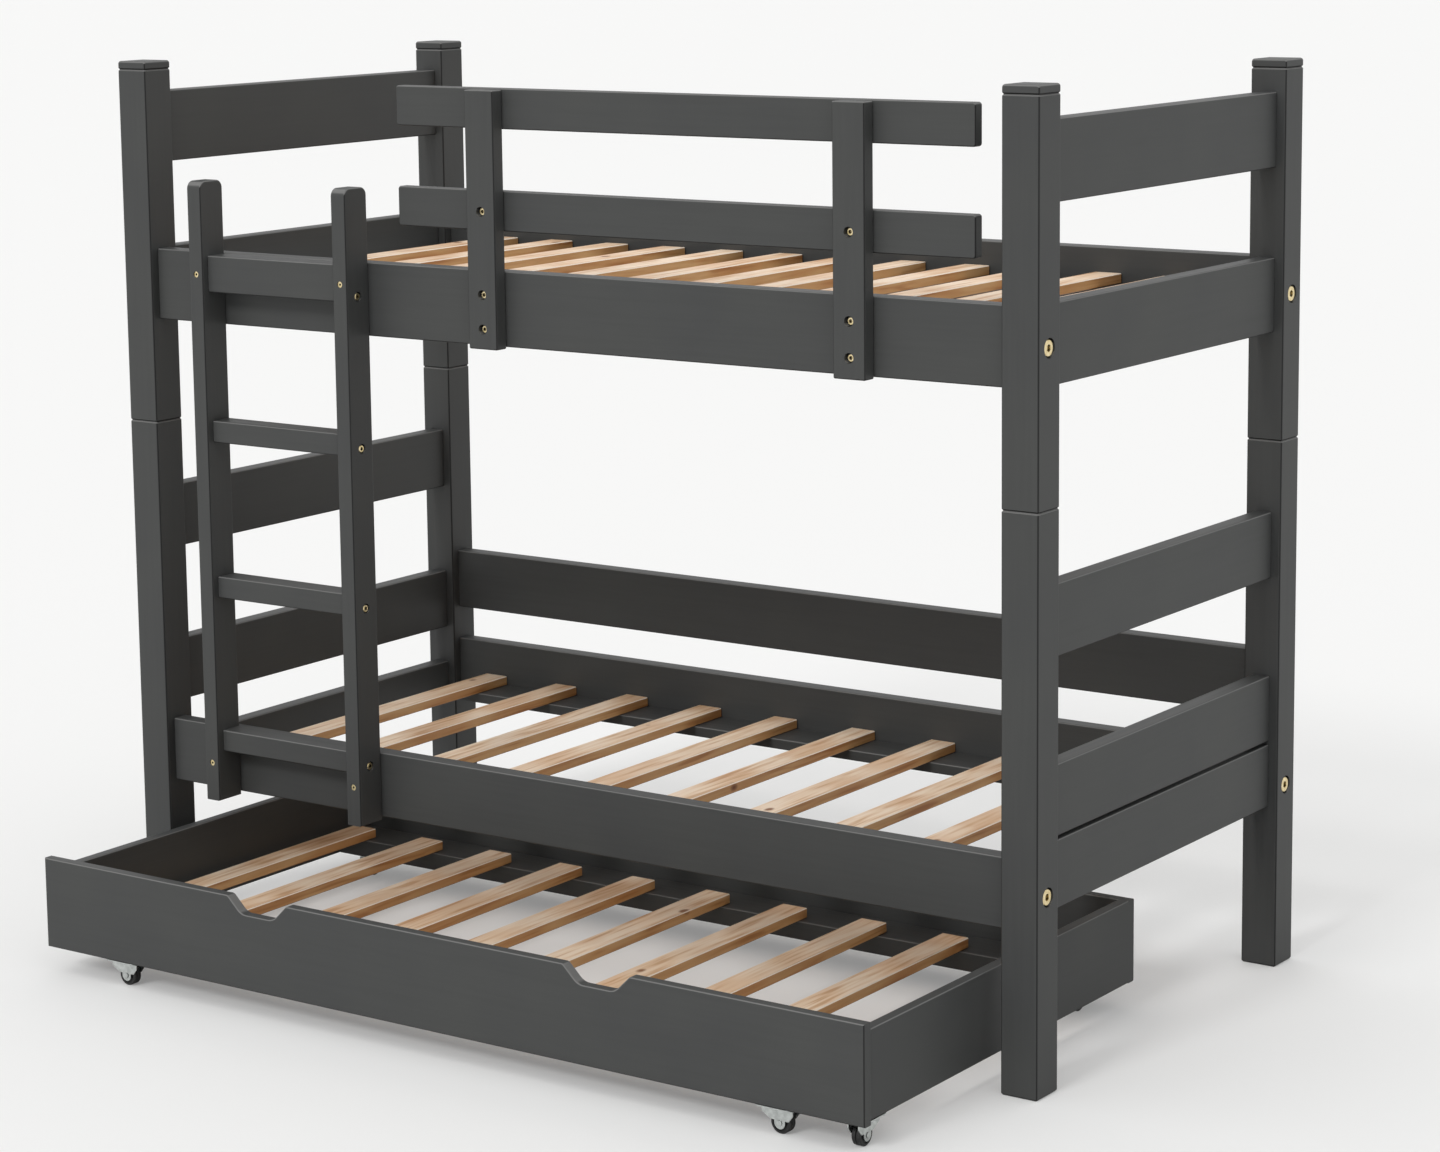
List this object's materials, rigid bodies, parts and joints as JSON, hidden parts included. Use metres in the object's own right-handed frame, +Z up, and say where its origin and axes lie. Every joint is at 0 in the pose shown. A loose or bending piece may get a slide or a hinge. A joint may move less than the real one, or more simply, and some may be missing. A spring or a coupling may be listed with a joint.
{
  "type": "triple bunk bed",
  "caption": "Slatted bunk bed of square posts and flat boards, with a front guard, a ladder at one end of the front, and a low drawer bed on swivel casters that pulls out from underneath.",
  "frame": {"origin": "on the floor, under the middle of the bounding box with the drawer bed pulled out 350 mm", "axes": "+X along the bed to the right as seen from the ladder side, +Y from the ladder side to the rear, +Z up"},
  "size_m": [1.9, 1.25, 1.583],
  "materials": {
    "graphite_wood": "satin graphite paint on solid softwood, eased edges",
    "natural_pine": "bare planed pine",
    "brass": "satin brass-plated",
    "steel": "plain zinc-plated",
    "zinc": "bright zinc-plated pressed sheet",
    "black_plastic": "moulded, satin"
  },
  "bodies": {
    "frame": {"barrel_nuts": "steel", "countersunk_screws": "steel", "frame_bolts": "brass", "frame_dowels": "natural_pine", "front_left_lower_post": "graphite_wood", "front_left_upper_post": "graphite_wood", "front_right_lower_post": "graphite_wood", "front_right_upper_post": "graphite_wood", "guard_bolts": "brass", "guard_left_upright": "graphite_wood", "guard_lower_board": "graphite_wood", "guard_right_upright": "graphite_wood", "guard_top_board": "graphite_wood", "ladder_bolts": "brass", "ladder_left_stile": "graphite_wood", "ladder_right_stile": "graphite_wood", "ladder_rungs": "graphite_wood", "ladder_top_rung": "graphite_wood", "left_lower_end_rail": "graphite_wood", "left_lower_headboards": "graphite_wood", "left_upper_end_rail": "graphite_wood", "left_upper_headboard": "graphite_wood", "lower_front_rail": "graphite_wood", "lower_ledges": "graphite_wood", "lower_rear_rail": "graphite_wood", "lower_slats": "natural_pine", "post_caps": "graphite_wood", "post_pins": "natural_pine", "rear_left_lower_post": "graphite_wood", "rear_left_upper_post": "graphite_wood", "rear_right_lower_post": "graphite_wood", "rear_right_upper_post": "graphite_wood", "rear_safety_board": "graphite_wood", "right_lower_end_rail": "graphite_wood", "right_lower_headboards": "graphite_wood", "right_upper_end_rail": "graphite_wood", "right_upper_headboard": "graphite_wood", "upper_front_rail": "graphite_wood", "upper_ledges": "graphite_wood", "upper_rear_rail": "graphite_wood", "upper_slats": "natural_pine"},
    "drawer": {"drawer_front": "graphite_wood", "drawer_back": "graphite_wood", "drawer_left_side": "graphite_wood", "drawer_right_side": "graphite_wood", "drawer_ledges": "graphite_wood", "drawer_slats": "natural_pine", "drawer_screws": "steel", "caster_plates": "zinc"},
    "front_left_swivel": {"front_left_fork": "zinc"},
    "front_left_roller": {"front_left_wheel": "black_plastic"},
    "front_right_swivel": {"front_right_fork": "zinc"},
    "front_right_roller": {"front_right_wheel": "black_plastic"},
    "corner_swivel": {"corner_fork": "zinc"},
    "corner_roller": {"corner_wheel": "black_plastic"},
    "rear_right_swivel": {"rear_right_fork": "zinc"},
    "rear_right_roller": {"rear_right_wheel": "black_plastic"},
    "rear_left_swivel": {"rear_left_fork": "zinc"},
    "rear_left_roller": {"rear_left_wheel": "black_plastic"}
  },
  "joints": [
    {"name": "drawer_slide", "type": "slide", "parent": "frame", "child": "drawer", "axis": [0, -1, 0], "range_m": [-0.35, 0.51]},
    {"name": "front_left_swivel", "type": "hinge", "parent": "drawer", "child": "front_left_swivel", "pos_m": [-0.685, -0.603, 0.0396], "axis": [0, 0, 1], "continuous": true},
    {"name": "front_left_roll", "type": "hinge", "parent": "front_left_swivel", "child": "front_left_roller", "pos_m": [-0.676, -0.603, 0.018], "axis": [0, 1, 0], "continuous": true},
    {"name": "front_right_swivel", "type": "hinge", "parent": "drawer", "child": "front_right_swivel", "pos_m": [0.685, -0.603, 0.0396], "axis": [0, 0, 1], "continuous": true},
    {"name": "front_right_roll", "type": "hinge", "parent": "front_right_swivel", "child": "front_right_roller", "pos_m": [0.694, -0.603, 0.018], "axis": [0, 1, 0], "continuous": true},
    {"name": "corner_swivel", "type": "hinge", "parent": "drawer", "child": "corner_swivel", "pos_m": [0.824, -0.575, 0.0396], "axis": [0, 0, 1], "continuous": true},
    {"name": "corner_roll", "type": "hinge", "parent": "corner_swivel", "child": "corner_roller", "pos_m": [0.824, -0.584, 0.018], "axis": [1, 0, 0], "continuous": true},
    {"name": "rear_right_swivel", "type": "hinge", "parent": "drawer", "child": "rear_right_swivel", "pos_m": [0.775, 0.17, 0.0396], "axis": [0, 0, 1], "continuous": true},
    {"name": "rear_right_roll", "type": "hinge", "parent": "rear_right_swivel", "child": "rear_right_roller", "pos_m": [0.775, 0.161, 0.018], "axis": [1, 0, 0], "continuous": true},
    {"name": "rear_left_swivel", "type": "hinge", "parent": "drawer", "child": "rear_left_swivel", "pos_m": [-0.775, 0.17, 0.0396], "axis": [0, 0, 1], "continuous": true},
    {"name": "rear_left_roll", "type": "hinge", "parent": "rear_left_swivel", "child": "rear_left_roller", "pos_m": [-0.775, 0.161, 0.018], "axis": [1, 0, 0], "continuous": true}
  ]
}
